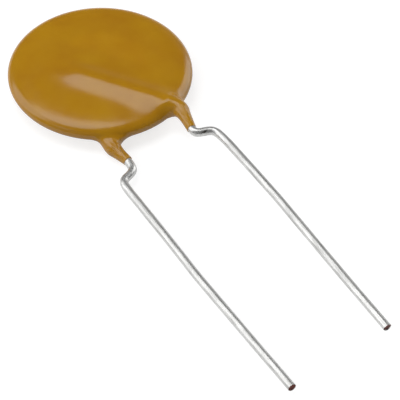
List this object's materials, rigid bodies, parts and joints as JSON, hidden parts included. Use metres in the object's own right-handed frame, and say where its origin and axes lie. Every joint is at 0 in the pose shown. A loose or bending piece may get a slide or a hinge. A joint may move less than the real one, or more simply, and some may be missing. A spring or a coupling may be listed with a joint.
{
  "type": "ceramic disc capacitor",
  "caption": "Large dipped ceramic disc capacitor with two radial tinned leads, cranked outward below the disc to a wider pitch.",
  "frame": {"origin": "midway between the axes of the two leads, where they leave their last bend", "axes": "the leads run along -Y and the disc is at +Y; Z is square to the disc's faces; the front lead is at +X and on the +Z side, the rear lead at -X and on the -Z side"},
  "size_m": [0.0164, 0.0489, 0.0028],
  "materials": {
    "dielectric_ceramic": "fired, matte",
    "electrode_silver": "fired silver, matte",
    "solder": "satin solder",
    "tinned_wire": "bright tin over copper",
    "dipped_epoxy": "satin-gloss dipped epoxy"
  },
  "bodies": {
    "root": {"dielectric_disc": "dielectric_ceramic", "front_electrode": "electrode_silver", "rear_electrode": "electrode_silver", "front_solder": "solder", "rear_solder": "solder", "front_lead": "tinned_wire", "rear_lead": "tinned_wire", "coating": "dipped_epoxy"}
  },
  "joints": []
}
